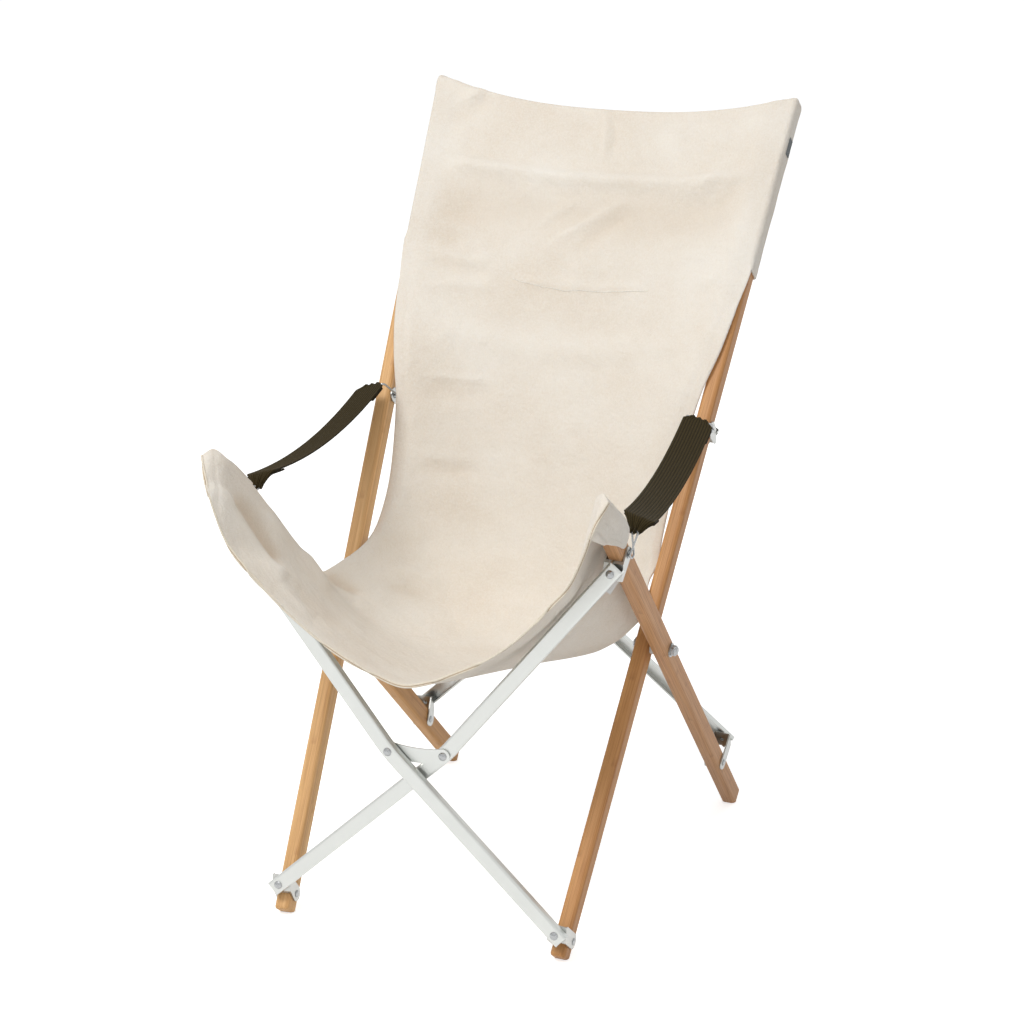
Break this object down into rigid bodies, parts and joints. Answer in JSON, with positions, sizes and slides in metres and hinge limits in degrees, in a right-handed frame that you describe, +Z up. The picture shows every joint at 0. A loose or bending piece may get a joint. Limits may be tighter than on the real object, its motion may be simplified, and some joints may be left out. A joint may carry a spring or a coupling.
{
  "type": "folding recliner",
  "caption": "High-back folding recliner: bamboo side frames that scissor shut, crossed aluminium bars with links, a canvas sling and webbing arm straps.",
  "frame": {"origin": "on the floor under the centre of the whole chair as it stands open", "axes": "+X to the sitter's left, -Y towards the front of the seat, +Z up"},
  "size_m": [0.4994, 0.6864, 0.9034],
  "materials": {
    "bamboo": "satin, laminated bamboo with clear oil",
    "steel": "pressed and plated",
    "satin_aluminium": "satin anodised",
    "spacer_plastic": "matte",
    "canvas": "heavy woven cotton canvas",
    "webbing": "ribbed webbing",
    "grey_tape": "folded tape, bare"
  },
  "bodies": {
    "right_frame": {"right_long_post": "bamboo", "right_back_sleeve": "canvas", "right_pivot_bolt": "steel", "right_pivot_nut": "steel", "right_pivot_spacer": "spacer_plastic", "right_foot_pin": "steel", "right_back_pin": "steel", "right_strap_ring": "steel", "right_arm_strap": "webbing", "side_tag": "grey_tape"},
    "right_leg": {"right_short_leg": "bamboo", "right_front_pocket": "canvas", "right_leg_top_pin": "steel", "right_heel_pin": "steel", "right_strap_hook": "steel"},
    "right_foot": {"right_foot_bracket": "steel"},
    "right_leg_top": {"right_leg_top_bracket": "steel"},
    "right_back": {"right_back_bracket": "steel"},
    "right_heel": {"right_heel_bracket": "steel"},
    "left_frame": {"left_long_post": "bamboo", "left_back_sleeve": "canvas", "left_pivot_bolt": "steel", "left_pivot_nut": "steel", "left_pivot_spacer": "spacer_plastic", "left_foot_pin": "steel", "left_back_pin": "steel", "left_strap_ring": "steel", "left_arm_strap": "webbing"},
    "left_leg": {"left_short_leg": "bamboo", "left_front_pocket": "canvas", "left_leg_top_pin": "steel", "left_heel_pin": "steel", "left_strap_hook": "steel"},
    "left_foot": {"left_foot_bracket": "steel"},
    "left_leg_top": {"left_leg_top_bracket": "steel"},
    "left_back": {"left_back_bracket": "steel"},
    "left_heel": {"left_heel_bracket": "steel"},
    "front_inner": {"front_inner_bar": "satin_aluminium", "front_inner_top_rivet": "steel", "front_inner_bottom_rivet": "steel"},
    "front_outer": {"front_outer_bar": "satin_aluminium", "front_outer_top_rivet": "steel", "front_outer_bottom_rivet": "steel", "front_link_outer_rivet": "steel"},
    "front_link": {"front_link": "satin_aluminium", "front_link_inner_rivet": "steel"},
    "rear_inner": {"rear_inner_bar": "satin_aluminium", "rear_inner_top_rivet": "steel", "rear_inner_bottom_rivet": "steel"},
    "rear_outer": {"rear_outer_bar": "satin_aluminium", "rear_outer_top_rivet": "steel", "rear_outer_bottom_rivet": "steel", "rear_link_outer_rivet": "steel"},
    "rear_link": {"rear_link": "satin_aluminium", "rear_link_inner_rivet": "steel"},
    "back_cloth": {"canvas_back": "canvas"},
    "seat_cloth": {"canvas_seat": "canvas"}
  },
  "joints": [
    {"name": "right_fold", "type": "hinge", "parent": "right_frame", "child": "right_leg", "pos_m": [0.202, -0.06642, 0.312], "axis": [-0.998, 0, 0.0628], "range_deg": [0, 75], "deforming": ["right_arm_strap"]},
    {"name": "frames_close", "type": "hinge", "parent": "right_frame", "child": "left_frame", "pos_m": [0, -0.06642, -3.62677], "axis": [0, 1, 0], "range_deg": [0, 4.91]},
    {"name": "back_cloth_shift", "type": "hinge", "parent": "right_frame", "child": "back_cloth", "pos_m": [0, -0.06642, -3.62677], "axis": [0, 1, 0], "range_deg": [0, 2.6], "deforming": ["canvas_back"]},
    {"name": "left_fold", "type": "hinge", "parent": "left_frame", "child": "left_leg", "pos_m": [-0.202, -0.06642, 0.312], "axis": [-0.998, 0, -0.0628], "range_deg": [0, 75.5], "deforming": ["left_arm_strap"]},
    {"name": "right_foot_swing", "type": "hinge", "parent": "right_frame", "child": "right_foot", "pos_m": [0.17212, -0.2663, 0.02028], "axis": [-0.998, 0, 0.0628], "range_deg": [0, 30.23]},
    {"name": "left_foot_swing", "type": "hinge", "parent": "left_frame", "child": "left_foot", "pos_m": [-0.17212, -0.2663, 0.02028], "axis": [-0.998, 0, -0.0628], "range_deg": [0, 30.23]},
    {"name": "right_leg_top_swing", "type": "hinge", "parent": "right_leg", "child": "right_leg_top", "pos_m": [0.224, -0.25924, 0.47857], "axis": [-0.998, 0, 0.0628], "range_deg": [-45.37, 0]},
    {"name": "left_leg_top_swing", "type": "hinge", "parent": "left_leg", "child": "left_leg_top", "pos_m": [-0.224, -0.25924, 0.47857], "axis": [-0.998, 0, -0.0628], "range_deg": [-45.37, 0]},
    {"name": "right_back_swing", "type": "hinge", "parent": "right_frame", "child": "right_back", "pos_m": [0.20474, 0.08799, 0.53863], "axis": [-0.998, 0, 0.0628], "range_deg": [0, 43.08]},
    {"name": "left_back_swing", "type": "hinge", "parent": "left_frame", "child": "left_back", "pos_m": [-0.20474, 0.08799, 0.53863], "axis": [-0.998, 0, -0.0628], "range_deg": [0, 43.08]},
    {"name": "right_heel_swing", "type": "hinge", "parent": "right_leg", "child": "right_heel", "pos_m": [0.19915, 0.19607, 0.08355], "axis": [-0.998, 0, 0.0628], "range_deg": [-32.52, 0]},
    {"name": "left_heel_swing", "type": "hinge", "parent": "left_leg", "child": "left_heel", "pos_m": [-0.19915, 0.19607, 0.08355], "axis": [-0.998, 0, -0.0628], "range_deg": [-32.52, 0]},
    {"name": "front_inner_swing", "type": "hinge", "parent": "right_leg_top", "child": "front_inner", "pos_m": [0.22285, -0.28462, 0.46069], "axis": [0, -0.9999, 0.0154], "range_deg": [0, 32.84]},
    {"name": "front_outer_swing", "type": "hinge", "parent": "left_leg_top", "child": "front_outer", "pos_m": [-0.22285, -0.29742, 0.46089], "axis": [0, 0.9999, -0.0154], "range_deg": [0, 32.84]},
    {"name": "rear_inner_swing", "type": "hinge", "parent": "right_back", "child": "rear_inner", "pos_m": [0.20372, 0.11625, 0.52831], "axis": [0, -0.9729, -0.231], "range_deg": [0, 34.31]},
    {"name": "rear_outer_swing", "type": "hinge", "parent": "left_back", "child": "rear_outer", "pos_m": [-0.20372, 0.12871, 0.53126], "axis": [0, 0.9729, 0.231], "range_deg": [0, 34.31]},
    {"name": "front_link_swing", "type": "hinge", "parent": "front_inner", "child": "front_link", "pos_m": [0.03138, -0.29053, 0.2262], "axis": [0, 0.9999, -0.0154], "range_deg": [0, 35.33]},
    {"name": "rear_link_swing", "type": "hinge", "parent": "rear_inner", "child": "rear_link", "pos_m": [0.0313, 0.16848, 0.31831], "axis": [0, 0.9729, 0.231], "range_deg": [0, 36.62]},
    {"name": "seat_cloth_lift", "type": "hinge", "parent": "back_cloth", "child": "seat_cloth", "pos_m": [0, -0.05842, 0.278], "axis": [-1, 0, 0], "range_deg": [0, 68.98], "deforming": ["canvas_seat"]}
  ],
  "couplings": [
    {"joint": "frames_close", "follows": "right_fold", "ratio": 0.0614},
    {"joint": "back_cloth_shift", "follows": "right_fold", "ratio": 0.0307},
    {"joint": "left_fold", "follows": "right_fold", "ratio": 1},
    {"joint": "right_foot_swing", "follows": "right_fold", "ratio": 0.399},
    {"joint": "left_foot_swing", "follows": "right_fold", "ratio": 0.399},
    {"joint": "right_leg_top_swing", "follows": "right_fold", "ratio": -0.601},
    {"joint": "left_leg_top_swing", "follows": "right_fold", "ratio": -0.601},
    {"joint": "right_back_swing", "follows": "right_fold", "ratio": 0.5703},
    {"joint": "left_back_swing", "follows": "right_fold", "ratio": 0.5703},
    {"joint": "right_heel_swing", "follows": "right_fold", "ratio": -0.4297},
    {"joint": "left_heel_swing", "follows": "right_fold", "ratio": -0.4297},
    {"joint": "front_inner_swing", "follows": "right_fold", "ratio": 0.4339},
    {"joint": "front_outer_swing", "follows": "right_fold", "ratio": 0.4339},
    {"joint": "rear_inner_swing", "follows": "right_fold", "ratio": 0.4535},
    {"joint": "rear_outer_swing", "follows": "right_fold", "ratio": 0.4535},
    {"joint": "front_link_swing", "follows": "right_fold", "ratio": 0.4671},
    {"joint": "rear_link_swing", "follows": "right_fold", "ratio": 0.4843},
    {"joint": "seat_cloth_lift", "follows": "right_fold", "ratio": 0.9157}
  ]
}
